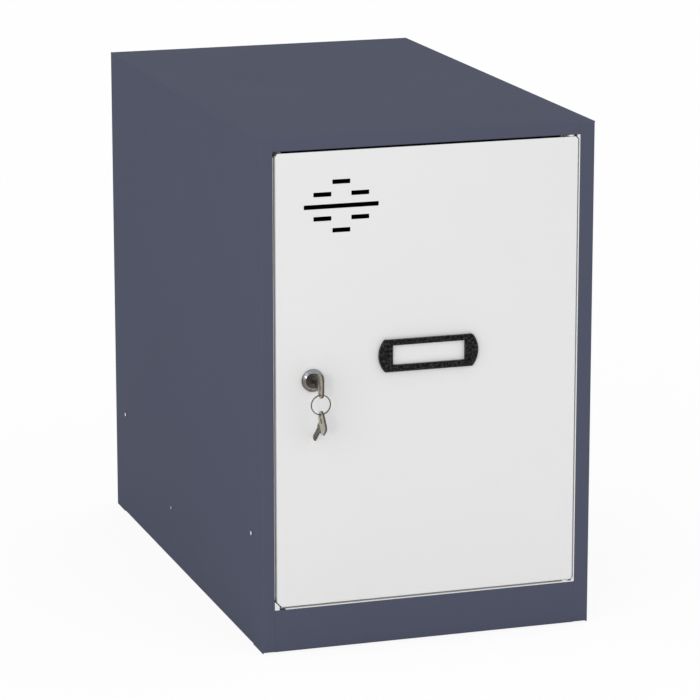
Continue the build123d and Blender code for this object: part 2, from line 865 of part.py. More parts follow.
def card_holder():
    """Black frame with a window, a pocket open at the top and two pegs through the door."""
    tall = holder_tall / 2
    bulge = holder_half + holder_end_bulge
    outline = make_face(
        Curve() + [
            Line((-holder_half, tall), (holder_half, tall)),
            ThreePointArc((holder_half, tall), (bulge, 0), (holder_half, -tall)),
            Line((holder_half, -tall), (-holder_half, -tall)),
            ThreePointArc((-holder_half, -tall), (-bulge, 0), (-holder_half, tall)),
        ]
    )
    outline = fillet(outline.vertices(), holder_corner)
    frame = extrude(Plane.XZ * outline, holder_depth)
    frame = chamfer(frame.faces().sort_by(Axis.Y)[0].edges(), holder_bevel)
    opening = Pos(0, window_rise) * RectangleRounded(window_width, window_height, window_corner)
    window = extrude(Plane.XZ * opening, holder_depth + past)
    frame -= window
    rim = frame.faces().sort_by(Axis.Y)[0].inner_wires()[0].edges()
    frame = chamfer(rim, window_bevel)
    frame = Pos(holder_x, 0, holder_z) * frame
    half = pocket_width / 2
    pocket_top = holder_z + tall + past
    frame -= block(holder_x - half, holder_x + half, -pocket_depth, past, pocket_bottom, pocket_top)
    for side in (-1, 1):
        frame += rod_y(peg_radius, -past, peg_length, holder_x + side * peg_x, holder_z)
    return frame


def holder_push_nuts():
    """Two spring discs that hold the pegs behind the door."""
    group = []
    for side in (-1, 1):
        x = holder_x + side * peg_x
        disc = rod_y(push_nut_radius, sheet, sheet + push_nut_thickness, x, holder_z)
        group.append(disc - rod_y(peg_radius + assembly_play, 0, sheet + past, x, holder_z))
    return together(group)


def name_card():
    """Blank card that slides up out of the holder."""
    half = card_width / 2
    middle = -pocket_depth / 2
    return block(
        holder_x - half, holder_x + half, middle - card_thickness / 2, middle + card_thickness / 2,
        card_bottom, card_top,
    )


pieces = {
    "left_side_panel": left_side_panel(),
    "right_side_panel": right_side_panel(),
    "top_panel": top_panel(),
    "back_panel": back_panel(),
    "floor_panel": floor_panel(),
    "plinth": plinth(),
    "sill": sill(),
    "hinge_jamb": hinge_jamb(),
    "strike_strip": strike_strip(),
    "strike_lining": strike_lining(),
    "head_stop": head_stop(),
    "corner_plates": corner_plates(),
    "upper_hinge_plate": hinge_plate(opening_top + sheet),
    "lower_hinge_plate": hinge_plate(opening_bottom - sheet - hinge_plate_thickness),
    "upper_hinge_bush": upper_hinge_bush(),
    "lower_hinge_bush": lower_hinge_bush(),
    "door_buffers": door_buffers(),
    "side_hole_plugs": side_hole_plugs(),
    "floor_rivets": floor_rivets(),
    "door_panel": door_panel(),
    "door_top_channel": door_top_channel(),
    "door_stiffener": door_stiffener(),
    "upper_pivot_bracket": upper_pivot_bracket(),
    "lower_pivot_bracket": lower_pivot_bracket(),
    "upper_hinge_pin": upper_hinge_pin(),
    "lower_hinge_pin": lower_hinge_pin(),
    "lock_housing": lock_housing(),
    "lock_washer": lock_washer(),
    "lock_nut": lock_nut(),
    "lock_plug": lock_plug(),
    "lock_cam": lock_cam(),
    "cam_screw": cam_screw(),
    "key": key(),
    "key_ring": key_ring(),
    "spare_key": spare_key(),
    "card_holder": card_holder(),
    "holder_push_nuts": holder_push_nuts(),
    "name_card": name_card(),
}

spans = [piece.bounding_box() for piece in pieces.values()]
nearest = min(span.min.Y for span in spans)
furthest = max(span.max.Y for span in spans)
shift = -(nearest + furthest) / 2
print(f"front plane at y {shift:.3f}, hinge at x {hinge_x:.3f} y {hinge_y + shift:.3f}")
print(f"lock at x {lock_x:.3f} z {lock_z:.3f}, holder x {holder_x:.3f} z {holder_z:.3f}")
print(f"ring y {ring_y + shift:.3f}, its top z {ring_top_z:.3f}, its bottom z {ring_bottom_z:.3f}")

os.makedirs("parts", exist_ok=True)
for name, piece in pieces.items():
    export_step(Pos(0, shift, 0) * piece, f"parts/{name}.step")
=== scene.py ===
import math
import bmesh
import bpy
from mathutils import Matrix, Vector


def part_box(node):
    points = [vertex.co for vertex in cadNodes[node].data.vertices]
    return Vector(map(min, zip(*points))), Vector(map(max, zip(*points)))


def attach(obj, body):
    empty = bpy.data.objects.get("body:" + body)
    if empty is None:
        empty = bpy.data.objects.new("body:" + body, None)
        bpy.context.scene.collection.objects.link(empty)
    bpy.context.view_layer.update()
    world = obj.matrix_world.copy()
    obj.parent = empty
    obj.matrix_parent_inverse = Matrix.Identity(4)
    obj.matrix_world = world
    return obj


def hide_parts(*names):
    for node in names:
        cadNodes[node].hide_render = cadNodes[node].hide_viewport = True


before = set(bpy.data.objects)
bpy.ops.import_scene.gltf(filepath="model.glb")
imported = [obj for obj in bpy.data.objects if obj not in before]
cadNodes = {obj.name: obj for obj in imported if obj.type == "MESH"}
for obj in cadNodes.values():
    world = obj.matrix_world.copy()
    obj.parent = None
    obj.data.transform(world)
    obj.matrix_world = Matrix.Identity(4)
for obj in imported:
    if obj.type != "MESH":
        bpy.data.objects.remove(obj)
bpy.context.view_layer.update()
print("packed locker loaded:", len(cadNodes), "nodes")


def boxOf(node):
    low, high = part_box(node)
    return Vector(low), Vector(high)


doorLow, doorHigh = boxOf("door_panel")
lockLow, lockHigh = boxOf("lock_housing")
ringLow, ringHigh = boxOf("key_ring")
keyLow, keyHigh = boxOf("key")
cardLow, cardHigh = boxOf("name_card")
plugLow, plugHigh = boxOf("side_hole_plugs")
rivetLow, rivetHigh = boxOf("floor_rivets")
frontPlane = doorLow.y  # face of the door and the stiles
lockX = (lockLow.x + lockHigh.x) / 2
lockZ = (lockLow.z + lockHigh.z) / 2


# shader helpers

class Finish:
    def __init__(self, name):
        self.material = bpy.data.materials.new(name)
        self.material.use_nodes = True
        self.tree = self.material.node_tree
        self.shader = self.tree.nodes["Principled BSDF"]
        self.place = self.add("ShaderNodeTexCoord").outputs["Object"]

    def add(self, kind):
        return self.tree.nodes.new(kind)

    def link(self, start, end):
        self.tree.links.new(start, end)

    def stretched(self, scale):
        mapping = self.add("ShaderNodeMapping")
        mapping.inputs["Scale"].default_value = scale
        self.link(self.place, mapping.inputs["Vector"])
        return mapping.outputs["Vector"]

    def noise(self, scale, detail=3, rough=0.5, place=None):
        noise = self.add("ShaderNodeTexNoise")
        noise.inputs["Scale"].default_value = scale
        noise.inputs["Detail"].default_value = detail
        noise.inputs["Roughness"].default_value = rough
        self.link(place or self.place, noise.inputs["Vector"])
        return noise.outputs["Fac"]

    def spread(self, value, fromLow, fromHigh, toLow, toHigh):
        spread = self.add("ShaderNodeMapRange")
        sockets = ("From Min", "From Max", "To Min", "To Max")
        for name, number in zip(sockets, (fromLow, fromHigh, toLow, toHigh)):
            spread.inputs[name].default_value = number
        self.link(value, spread.inputs["Value"])
        return spread.outputs["Result"]

    def times(self, first, second):
        times = self.add("ShaderNodeMath")
        times.operation = "MULTIPLY"
        self.link(first, times.inputs[0])
        self.link(second, times.inputs[1])
        return times.outputs["Value"]

    def mixed(self, amount, first, second):
        mixed = self.add("ShaderNodeMix")
        mixed.data_type = "RGBA"
        self.link(amount, mixed.inputs[0])
        for value, socket in ((first, mixed.inputs[6]), (second, mixed.inputs[7])):
            if isinstance(value, tuple):
                socket.default_value = (*value, 1)
            else:
                self.link(value, socket)
        return mixed.outputs[2]

    def along(self, direction, low, high):
        # 0 to 1 between two distances along a direction
        reach = self.add("ShaderNodeVectorMath")
        reach.operation = "DOT_PRODUCT"
        self.link(self.place, reach.inputs[0])
        reach.inputs[1].default_value = direction
        return self.spread(reach.outputs["Value"], low, high, 0, 1)

    def edges(self, radius):
        # 1 along edges and 0 on flat faces
        bevel = self.add("ShaderNodeBevel")
        bevel.samples = 4
        bevel.inputs["Radius"].default_value = radius
        flat = self.add("ShaderNodeNewGeometry")
        turn = self.add("ShaderNodeVectorMath")
        turn.operation = "DOT_PRODUCT"
        self.link(bevel.outputs["Normal"], turn.inputs[0])
        self.link(flat.outputs["Normal"], turn.inputs[1])
        return self.spread(turn.outputs["Value"], 1.0, 0.85, 0.0, 1.0)

    def bumps(self, *layers):
        normal = None
        for height, strength, distance in layers:
            bump = self.add("ShaderNodeBump")
            bump.inputs["Strength"].default_value = strength
            bump.inputs["Distance"].default_value = distance
            self.link(height, bump.inputs["Height"])
            if normal:
                self.link(normal, bump.inputs["Normal"])
            normal = bump.outputs["Normal"]
        self.link(normal, self.shader.inputs["Normal"])

    def roughness(self, value, look):
        rough = self.spread(value, 0.25, 0.75, look["smooth"], look["rough"])
        self.link(rough, self.shader.inputs["Roughness"])

    def edgeWearAndLightColour(self, tone, look, patches, low, high, least):
        # tone all over, and the edge tone in patches along the edges: wear on most finishes, and a painted
        # highlight or painted shadow on some
        edgeWearAndLight = self.spread(patches, low, high, least, look["edgeWearAndLight"])
        toneShift = self.mixed(self.times(self.edges(look["edgeRadius"]), edgeWearAndLight), tone, look["edgeTone"])
        self.link(toneShift, self.shader.inputs["Base Color"])

    def fixed(self, **values):
        for name, value in values.items():
            self.shader.inputs[name.replace("_", " ")].default_value = value


def shaded(colour, amount):
    return tuple(min(1.0, channel * (1 + amount)) for channel in colour)


def clouded(finish, cloud, look):
    # colour that drifts a little lighter and darker
    pale, deep = shaded(look["colour"], look["shade"]), shaded(look["colour"], -look["shade"])
    return finish.mixed(finish.spread(cloud, 0.3, 0.7, 0, 1), deep, pale)


def powderPaint(name, look):
    finish = Finish(name)
    cloud = finish.noise(look["cloudScale"], 4)
    speck = finish.spread(finish.noise(look["speckScale"], 1), 0.35, 0.65, 0, look["speck"])
    tone = finish.mixed(speck, clouded(finish, cloud, look), shaded(look["colour"], -0.5))
    finish.edgeWearAndLightColour(tone, look, finish.noise(look["edgeWearAndLightScale"], 5, 0.65), 0.4, 0.7, 0.2)
    finish.roughness(finish.noise(look["smudgeScale"], 5, 0.6), look)
    finish.bumps((finish.noise(look["peelScale"], 2), look["peel"], 0.00004),
                 (finish.noise(look["grainScale"], 1), look["grain"], 0.00002))
    finish.fixed(Specular_IOR_Level=look["shine"])
    return finish.material


def platedMetal(name, look):
    finish = Finish(name)
    cloud = finish.noise(look["cloudScale"], 4, 0.6)
    tone = finish.mixed(finish.spread(cloud, 0.3, 0.7, 0, 1), look["dark"], look["light"])
    # painted reflection: the metal's tone turns into a second tone across a line along the given direction,
    # in place of surroundings it would mirror
    if "paintedReflection" in look:
        way = Vector(look["paintedReflectionWay"]).normalized()
        start = way.dot(Vector(look["paintedReflectionSpot"]))
        toneShift = finish.along(way, start + look["paintedReflectionFrom"], start + look["paintedReflectionTo"])
        tone = finish.mixed(toneShift, tone, look["paintedReflection"])
    drawn = finish.noise(look["lineScale"], 4, 0.6, finish.stretched(look["lines"]))
    tone = finish.mixed(finish.spread(drawn, 0.3, 0.7, 0, look["streak"]), tone, shaded(look["dark"], -0.35))
    finish.edgeWearAndLightColour(tone, look, finish.noise(look["edgeWearAndLightScale"], 4), 0.35, 0.65, 0.2)
    finish.roughness(drawn, look)
    finish.bumps((drawn, look["bump"], 0.00003), (cloud, look["bump"] / 2, 0.00002))
    finish.fixed(Metallic=1.0)
    return finish.material


def mouldedPlastic(name, look):
    finish = Finish(name)
    cloud = finish.noise(look["cloudScale"], 4)
    fleck = finish.spread(finish.noise(look["fleckScale"], 2, 0.6),
                          look["fleckFrom"], look["fleckTo"], 0, look["fleck"])
    tone = finish.mixed(fleck, clouded(finish, cloud, look), look["fleckTone"])
    cells = finish.add("ShaderNodeTexVoronoi")
    cells.inputs["Scale"].default_value = look["grainScale"]
    finish.link(finish.place, cells.inputs["Vector"])
    finish.edgeWearAndLightColour(tone, look, finish.noise(look["edgeWearAndLightScale"], 4), 0.3, 0.7, 0.3)
    finish.roughness(cloud, look)
    finish.bumps((cells.outputs["Distance"], look["grain"], 0.00006), (cloud, look["grain"] / 2, 0.00003))
    finish.fixed(Specular_IOR_Level=look["shine"])
    return finish.material


# mesh helpers

def pieceFrom(name, build, material, body, slot, *stoodFor, sharpAngle=35):
    mesh = bpy.data.meshes.new(name)
    bmesh.ops.recalc_face_normals(build, faces=build.faces)
    build.to_mesh(mesh)
    build.free()
    for face in mesh.polygons:
        face.use_smooth = True
    mesh.set_sharp_from_angle(angle=math.radians(sharpAngle))
    piece = bpy.data.objects.new(name, mesh)
    bpy.context.scene.collection.objects.link(piece)
    for finish in material if isinstance(material, tuple) else (material,):
        mesh.materials.append(finish)
    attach(piece, body)
    if stoodFor:
        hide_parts(*stoodFor)
    return piece


def skin(build, rings, closeRound=True, closeAlong=False, caps=True):
    # rings of points joined by quads; a ring of one point is a tip
    made = [[build.verts.new(point) for point in ring] for ring in rings]
    pairs = list(zip(made, made[1:]))
    if closeAlong:
        pairs.append((made[-1], made[0]))
    for near, far in pairs:
        count = max(len(near), len(far))
        for index in range(count if closeRound else count - 1):
            after = (index + 1) % count
            corners = [near[index % len(near)], near[after % len(near)],
                       far[after % len(far)], far[index % len(far)]]
            corners = list(dict.fromkeys(corners))
            if len(corners) > 2:
                build.faces.new(corners)
    if caps and not closeAlong:
        for ring in (made[0], made[-1]):
            if len(ring) > 2:
                build.faces.new(ring)


def turned(build, profile, place, steps=96, hollow=False):
    # profile of (radius, height) turned round the Z axis of place
    rings = []
    for radius, height in profile:
        if radius < 1e-7:
            rings.append([place @ Vector((0, 0, height))])
            continue
        ring = []
        for step in range(steps):
            angle = 2 * math.pi * step / steps
            ring.append(place @ Vector((radius * math.cos(angle), radius * math.sin(angle), height)))
        rings.append(ring)
    skin(build, rings, closeAlong=hollow, caps=not hollow)


def facing(direction, spot):
    # matrix that turns Z towards direction at spot
    turn = Vector((0, 0, 1)).rotation_difference(Vector(direction))
    return Matrix.Translation(spot) @ turn.to_matrix().to_4x4()


def arcPoints(centre, radius, start, end, steps):
    points = []
    for step in range(steps + 1):
        angle = math.radians(start + (end - start) * step / steps)
        points.append((centre[0] + radius * math.cos(angle), centre[1] + radius * math.sin(angle)))
    return points


def pressedPlate(build, outer, holes, thickness, edge, place):
    # flat plate with rounded rims from 2D outlines; its middle plane is place's XY plane
    curve = bpy.data.curves.new("plateOutline", "CURVE")
    curve.dimensions = "2D"
    curve.fill_mode = "BOTH"
    curve.extrude = thickness / 2 - edge
    curve.bevel_depth = edge
    curve.bevel_resolution = 2
    curve.offset = -edge
    for points in (outer, *holes):
        spline = curve.splines.new("POLY")
        spline.points.add(len(points) - 1)
        for corner, (x, y) in zip(spline.points, points):
            corner.co = (x, y, 0, 1)
        spline.use_cyclic_u = True
    holder = bpy.data.objects.new("plateOutline", curve)
    mesh = bpy.data.meshes.new_from_object(holder)
    mesh.transform(place)
    build.from_mesh(mesh)
    bmesh.ops.remove_doubles(build, verts=build.verts, dist=0.000002)
    bpy.data.objects.remove(holder)
    bpy.data.curves.remove(curve)
    bpy.data.meshes.remove(mesh)


# painted sheet metal

bodyPaintLook = {
    "colour": (0.0810, 0.0888, 0.1300), "shade": 0.012, "cloudScale": 5.0,
    "speckScale": 900.0, "speck": 0.05, "edgeRadius": 0.0007, "edgeTone": (0.11, 0.12, 0.155),
    "edgeWearAndLightScale": 120.0, "edgeWearAndLight": 0.4, "smudgeScale": 9.0, "smooth": 0.68, "rough": 0.76,
    "peelScale": 700.0, "peel": 0.3, "grainScale": 2600.0, "grain": 0.3, "shine": 0.02,
}
doorPaintLook = {
    "colour": (0.766, 0.766, 0.766), "shade": 0.008, "cloudScale": 4.0,
    "speckScale": 1100.0, "speck": 0.015, "edgeRadius": 0.0007, "edgeTone": (0.84, 0.84, 0.84),
    "edgeWearAndLightScale": 120.0, "edgeWearAndLight": 0.5, "smudgeScale": 8.0, "smooth": 0.46, "rough": 0.54,
    "peelScale": 700.0, "peel": 0.3, "grainScale": 2600.0, "grain": 0.25, "shine": 0.35,
}
# painted shade: a near-black copy of the body paint for the head stop, standing in for the shade in the gap
# over the door
stopShadowPaintLook = {**bodyPaintLook, "colour": (0.012, 0.013, 0.017), "edgeTone": (0.02, 0.02, 0.025)}
bodyPaint = powderPaint("bodyPaint", bodyPaintLook)
stopShadowPaint = powderPaint("stopShadowPaint", stopShadowPaintLook)
doorPaint = powderPaint("doorPaint", doorPaintLook)
print("paints mixed")

# bare metals

zincLook = {
    "dark": (0.42, 0.43, 0.44), "light": (0.62, 0.62, 0.6), "cloudScale": 180.0,
    "lineScale": 500.0, "lines": (1, 1, 8), "streak": 0.4,
    "edgeRadius": 0.0003, "edgeTone": (0.75, 0.75, 0.74), "edgeWearAndLightScale": 400.0,
    "edgeWearAndLight": 0.6, "smooth": 0.28, "rough": 0.5, "bump": 0.2,
}
lockSpot = (lockX, frontPlane, lockZ)
# painted reflection: the blue-grey band turns darker and browner towards the lower left, standing in for the
# room and floor mirrored in the chrome
chromeLook = {
    "dark": (0.20, 0.225, 0.25), "light": (0.36, 0.39, 0.42), "cloudScale": 300.0,
    "paintedReflection": (0.2, 0.17, 0.135), "paintedReflectionSpot": lockSpot, "paintedReflectionWay": (-0.5, 0, -0.87),
    "paintedReflectionFrom": -0.0015, "paintedReflectionTo": 0.0015,
    "lineScale": 300.0, "lines": (1, 20, 1), "streak": 0.4,
    "edgeRadius": 0.0002, "edgeTone": (0.6, 0.6, 0.6), "edgeWearAndLightScale": 500.0,
    "edgeWearAndLight": 0.3, "smooth": 0.08, "rough": 0.2, "bump": 0.12,
}
# painted shade: a darker copy of the lock's chrome for the head's outer roll and side, near black towards the
# lower left, as a dark outline round the head
lockRimShadeLook = {
    "dark": (0.14, 0.155, 0.17), "light": (0.26, 0.28, 0.30), "cloudScale": 300.0,
    "paintedReflection": (0.05, 0.042, 0.034), "paintedReflectionSpot": lockSpot, "paintedReflectionWay": (-0.5, 0, -0.87),
    "paintedReflectionFrom": -0.002, "paintedReflectionTo": 0.0015,
    "lineScale": 300.0, "lines": (1, 20, 1), "streak": 0.25,
    "edgeRadius": 0.0002, "edgeTone": (0.2, 0.2, 0.2), "edgeWearAndLightScale": 500.0,
    "edgeWearAndLight": 0.3, "smooth": 0.12, "rough": 0.26, "bump": 0.08,
}
# painted highlight: a brighter copy of the lock's chrome for the inner lip, as a light ring line
lockEdgeHighlightLook = {
    "dark": (0.45, 0.45, 0.44), "light": (0.75, 0.75, 0.74), "cloudScale": 500.0,
    "lineScale": 300.0, "lines": (1, 1, 1), "streak": 0.3,
    "edgeRadius": 0.0001, "edgeTone": (0.8, 0.8, 0.8), "edgeWearAndLightScale": 500.0,
    "edgeWearAndLight": 0.3, "smooth": 0.12, "rough": 0.26, "bump": 0.08,
}
# painted shade: a dark copy of the lock's metal for the bore and the recess floor
lockRecessShadeLook = {
    "dark": (0.09, 0.075, 0.06), "light": (0.17, 0.15, 0.13), "cloudScale": 260.0,
    "lineScale": 600.0, "lines": (1, 1, 1), "streak": 0.4,
    "edgeRadius": 0.0001, "edgeTone": (0.3, 0.3, 0.3), "edgeWearAndLightScale": 500.0,
    "edgeWearAndLight": 0.4, "smooth": 0.3, "rough": 0.5, "bump": 0.3,
}
# the brighter edge tone on the plug's edges is wear and painted glints
plugLook = {
    "dark": (0.035, 0.031, 0.029), "light": (0.2, 0.183, 0.17), "cloudScale": 900.0,
    "lineScale": 600.0, "lines": (1, 1, 1), "streak": 0.6,
    "edgeRadius": 0.0002, "edgeTone": (0.3, 0.29, 0.28), "edgeWearAndLightScale": 500.0,
    "edgeWearAndLight": 0.6, "smooth": 0.3, "rough": 0.5, "bump": 0.3,
}
# the brighter edge tone is a painted highlight along the bow's rounded rim
nickelLook = {
    "dark": (0.40, 0.36, 0.29), "light": (0.68, 0.62, 0.52), "cloudScale": 420.0,
    "lineScale": 400.0, "lines": (1, 1, 14), "streak": 0.5,
    "edgeRadius": 0.0003, "edgeTone": (0.72, 0.69, 0.62), "edgeWearAndLightScale": 500.0,
    "edgeWearAndLight": 0.6, "smooth": 0.22, "rough": 0.42, "bump": 0.25,
}
# painted shade: a dark copy of the key's nickel for the bow's rim, hole and slot walls
keyRimShadeLook = {
    "dark": (0.07, 0.063, 0.055), "light": (0.15, 0.135, 0.115), "cloudScale": 150.0,
    "lineScale": 700.0, "lines": (14, 1, 1), "streak": 0.5,
    "edgeRadius": 0.0002, "edgeTone": (0.3, 0.28, 0.25), "edgeWearAndLightScale": 500.0,
    "edgeWearAndLight": 0.5, "smooth": 0.3, "rough": 0.5, "bump": 0.3,
}
bladeLook = {
    "dark": (0.085, 0.07, 0.06), "light": (0.2, 0.17, 0.15), "cloudScale": 320.0,
    "lineScale": 500.0, "lines": (1, 14, 1), "streak": 0.5,
    "edgeRadius": 0.00025, "edgeTone": (0.32, 0.29, 0.26), "edgeWearAndLightScale": 500.0,
    "edgeWearAndLight": 0.6, "smooth": 0.25, "rough": 0.45, "bump": 0.3,
}
ringSteelLook = {
    "dark": (0.09, 0.09, 0.085), "light": (0.22, 0.22, 0.21), "cloudScale": 160.0,
    "lineScale": 500.0, "lines": (1, 1, 8), "streak": 0.4,
    "edgeRadius": 0.0001, "edgeTone": (0.5, 0.5, 0.5), "edgeWearAndLightScale": 300.0,
    "edgeWearAndLight": 0.6, "smooth": 0.15, "rough": 0.3, "bump": 0.15,
}
zinc = platedMetal("zincPlate", zincLook)
chrome = platedMetal("lockChrome", chromeLook)
lockRimShade = platedMetal("lockRimShade", lockRimShadeLook)
lockEdgeHighlight = platedMetal("lockEdgeHighlight", lockEdgeHighlightLook)
lockRecessShade = platedMetal("lockRecessShade", lockRecessShadeLook)
plugMetal = platedMetal("lockPlugMetal", plugLook)
nickel = platedMetal("keyNickel", nickelLook)
keyRimShade = platedMetal("keyRimShade", keyRimShadeLook)
keyBlade = platedMetal("keyBlade", bladeLook)
ringSteel = platedMetal("ringSteel", ringSteelLook)
print("metals mixed")

# plastics, rubber and card

# the near-black edge tone at full strength is a painted shadow round the holder's outline
blackPlasticLook = {
    "colour": (0.0015, 0.0015, 0.0016), "shade": 0.3, "cloudScale": 260.0, "grainScale": 600.0, "grain": 0.6,
    "fleckScale": 480.0, "fleck": 1.0, "fleckFrom": 0.45, "fleckTo": 0.65, "fleckTone": (0.034, 0.034, 0.035),
    "edgeRadius": 0.0008, "edgeTone": (0.001, 0.001, 0.001), "edgeWearAndLightScale": 300.0, "edgeWearAndLight": 1.0,
    "smooth": 0.16, "rough": 0.26, "shine": 0.09,
}
nylonLook = {
    "colour": (0.75, 0.75, 0.73), "shade": 0.04, "cloudScale": 80.0, "grainScale": 1800.0, "grain": 0.15,
    "fleckScale": 1500.0, "fleck": 0.1, "fleckFrom": 0.52, "fleckTo": 0.68, "fleckTone": (0.6, 0.6, 0.57),
    "edgeRadius": 0.0003, "edgeTone": (0.85, 0.85, 0.84), "edgeWearAndLightScale": 200.0, "edgeWearAndLight": 0.5,
    "smooth": 0.35, "rough": 0.5, "shine": 0.5,
}
rubberLook = {
    "colour": (0.022, 0.022, 0.022), "shade": 0.2, "cloudScale": 120.0, "grainScale": 1500.0, "grain": 0.4,
    "fleckScale": 1200.0, "fleck": 0.4, "fleckFrom": 0.52, "fleckTo": 0.68, "fleckTone": (0.04, 0.04, 0.04),
    "edgeRadius": 0.0003, "edgeTone": (0.05, 0.05, 0.05), "edgeWearAndLightScale": 200.0, "edgeWearAndLight": 0.5,
    "smooth": 0.7, "rough": 0.9, "shine": 0.3,
}
cardLook = {
    "colour": (0.8, 0.8, 0.8), "shade": 0.012, "cloudScale": 900.0, "grainScale": 3000.0, "grain": 0.1,
    "fleckScale": 2500.0, "fleck": 0.06, "fleckFrom": 0.52, "fleckTo": 0.68, "fleckTone": (0.6, 0.6, 0.6),
    "edgeRadius": 0.0002, "edgeTone": (0.7, 0.7, 0.69), "edgeWearAndLightScale": 300.0, "edgeWearAndLight": 0.5,
    "smooth": 0.75, "rough": 0.9, "shine": 0.2,
}
blackPlastic = mouldedPlastic("blackPlastic", blackPlasticLook)
nylon = mouldedPlastic("whiteNylon", nylonLook)
rubber = mouldedPlastic("rubber", rubberLook)
cardStock = mouldedPlastic("cardStock", cardLook)
print("plastics mixed")

# finishes of the CAD nodes that stay

# head_stop takes the near-black paint that stands in for the shade in the gap over the door
nodeFinish = {
    "left_side_panel": bodyPaint, "right_side_panel": bodyPaint, "top_panel": bodyPaint,
    "back_panel": bodyPaint, "floor_panel": bodyPaint, "plinth": bodyPaint, "head_stop": stopShadowPaint,
    "sill": doorPaint, "hinge_jamb": doorPaint, "strike_strip": doorPaint, "strike_lining": doorPaint,
    "corner_plates": doorPaint, "door_panel": doorPaint, "door_top_channel": doorPaint,
    "door_stiffener": doorPaint, "upper_pivot_bracket": doorPaint, "lower_pivot_bracket": doorPaint,
    "upper_hinge_plate": zinc, "lower_hinge_plate": zinc, "upper_hinge_pin": zinc, "lower_hinge_pin": zinc,
    "upper_hinge_bush": nylon, "lower_hinge_bush": nylon, "door_buffers": rubber,
    "lock_washer": zinc, "lock_nut": zinc, "lock_plug": plugMetal, "lock_cam": zinc, "cam_screw": zinc,
    "card_holder": blackPlastic, "holder_push_nuts": zinc,
}
edgeRounding = {
    "card_holder": 0.0003, "lock_nut": 0.0003, "lock_cam": 0.0002, "lock_plug": 0.00015, "cam_screw": 0.00015,
    "upper_pivot_bracket": 0.0003, "lower_pivot_bracket": 0.0003,
}
for name, material in nodeFinish.items():
    node = cadNodes[name]
    node.data.materials.clear()
    node.data.materials.append(material)
    if name in edgeRounding:
        rounding = node.modifiers.new("edgeRounding", "BEVEL")
        rounding.width = edgeRounding[name]
        rounding.segments = 2
        rounding.limit_method = "ANGLE"
        rounding.angle_limit = math.radians(30)
        rounding.harden_normals = True
print("panels, door and fittings painted")

# lock body with its head

lockLook = {
    "headRadius": 0.00985, "headHeight": 0.003, "rimWidth": 0.0032, "recess": 0.0011, "slope": 0.0012,
    "bevel": 0.0006, "bevelFrom": 65.0, "bevelSteps": 4, "barrelRadius": 0.008, "boreRadius": 0.00635,
    "threadStart": 0.0056, "threadPitch": 0.001, "threadDepth": 0.00035,
}


def makeLockBody(look):
    build = bmesh.new()
    head, inner = look["headRadius"], look["headRadius"] - look["rimWidth"]
    top, bevel = look["headHeight"], look["bevel"]
    back = -(lockHigh.y - frontPlane)
    profile = [(look["boreRadius"], back), (look["boreRadius"], top - look["recess"] - 0.0001),
               (inner - 0.0002, top - look["recess"]),
               (inner, top - look["recess"] + 0.0002), (inner + 0.0001, top - 0.0002),
               (inner + 0.00025, top - 0.00004), (inner + 0.0004, top)]
    low = top - look["slope"]
    rolled = (head - bevel, low - bevel)  # outer edge below the sloping face
    profile += arcPoints(rolled, bevel, look["bevelFrom"], 0, look["bevelSteps"])
    profile += [(head, 0.0002), (head - 0.0002, 0), (look["barrelRadius"], 0)]
    depth = -look["threadStart"]
    while depth - look["threadPitch"] > back + 0.0004:
        profile.append((look["barrelRadius"], depth))
        profile.append((look["barrelRadius"] - look["threadDepth"], depth - look["threadPitch"] / 2))
        depth -= look["threadPitch"]
    profile += [(look["barrelRadius"], depth), (look["barrelRadius"] - 0.0003, back)]
    middle = Vector((lockX, frontPlane, lockZ))
    turned(build, profile, facing((0, -1, 0), middle), 96, hollow=True)
    # outer roll takes the painted-shade rim copy, bore and recess floor a painted-shade copy, inner lip a
    # painted-highlight copy of the chrome
    for face in build.faces:
        spot = face.calc_center_median() - middle
        reach = math.hypot(spot.x, spot.z)
        if reach > head - bevel * 0.75:
            face.material_index = 1
        elif reach < inner - 0.00005 and spot.y > -top + 0.0002:
            face.material_index = 2
        elif reach < inner + 0.00035:
            face.material_index = 3
    finishes = (chrome, lockRimShade, lockRecessShade, lockEdgeHighlight)
    pieceFrom("lockBody", build, finishes, "door", "lock_chrome", "lock_housing")


makeLockBody(lockLook)
print("lock body turned")

# keys

keyLook = {
    "bowHeight": 0.0205, "bowDepth": 0.0135, "topDepth": 0.0095, "thickness": 0.002, "edge": 0.00035,
    "blend": 0.0012, "bowSteps": 28, "bladeSteps": 110, "bladeEdge": 0.00018,
    "holeRadius": 0.0016, "holeEdge": 0.0036, "slotLength": 0.0052, "slotWidth": 0.0032, "slotGap": 0.0008,
    "bladeLength": 0.024, "bladeHeight": 0.0056, "bladeThickness": 0.0019,
    "shoulderHeight": 0.008, "shoulderLength": 0.006,
    "cutDepth": 0.0018, "cutRadius": 0.0013, "cutPitch": 0.0038, "cuts": 4,
    "groove": 0.0004,
    "spareTilt": 40.9, "rimTurn": 0.5,
}


def bowOutline(look, inset=0.0):
    half = look["bowDepth"] / 2 - inset
    low = -look["bowHeight"] / 2 + look["bowDepth"] / 2
    high = look["bowHeight"] / 2 - inset
    narrow = look["topDepth"] / 2 - inset / 2
    corner = look["topDepth"] / 3
    points = arcPoints((0, low), half, 180, 360, look["bowSteps"])
    shoulder = (half, high - corner)
    top = (narrow, high)
    blend = look["blend"]  # length over which a corner is rounded
    rise = Vector((top[0] - shoulder[0], top[1] - shoulder[1])).normalized() * blend
    points += [(half, shoulder[1] - blend), (half - 0.00012, shoulder[1] + 0.0001),
               (shoulder[0] + rise.x, shoulder[1] + rise.y)]
    points += [(top[0] - rise.x * 0.8, top[1] - rise.y * 0.8), (top[0] - 0.0002, top[1] - 0.00022),
               (top[0] - blend, high)]
    mirror = [(-x, y) for x, y in reversed(points[look["bowSteps"] + 1:])]
    return points + mirror


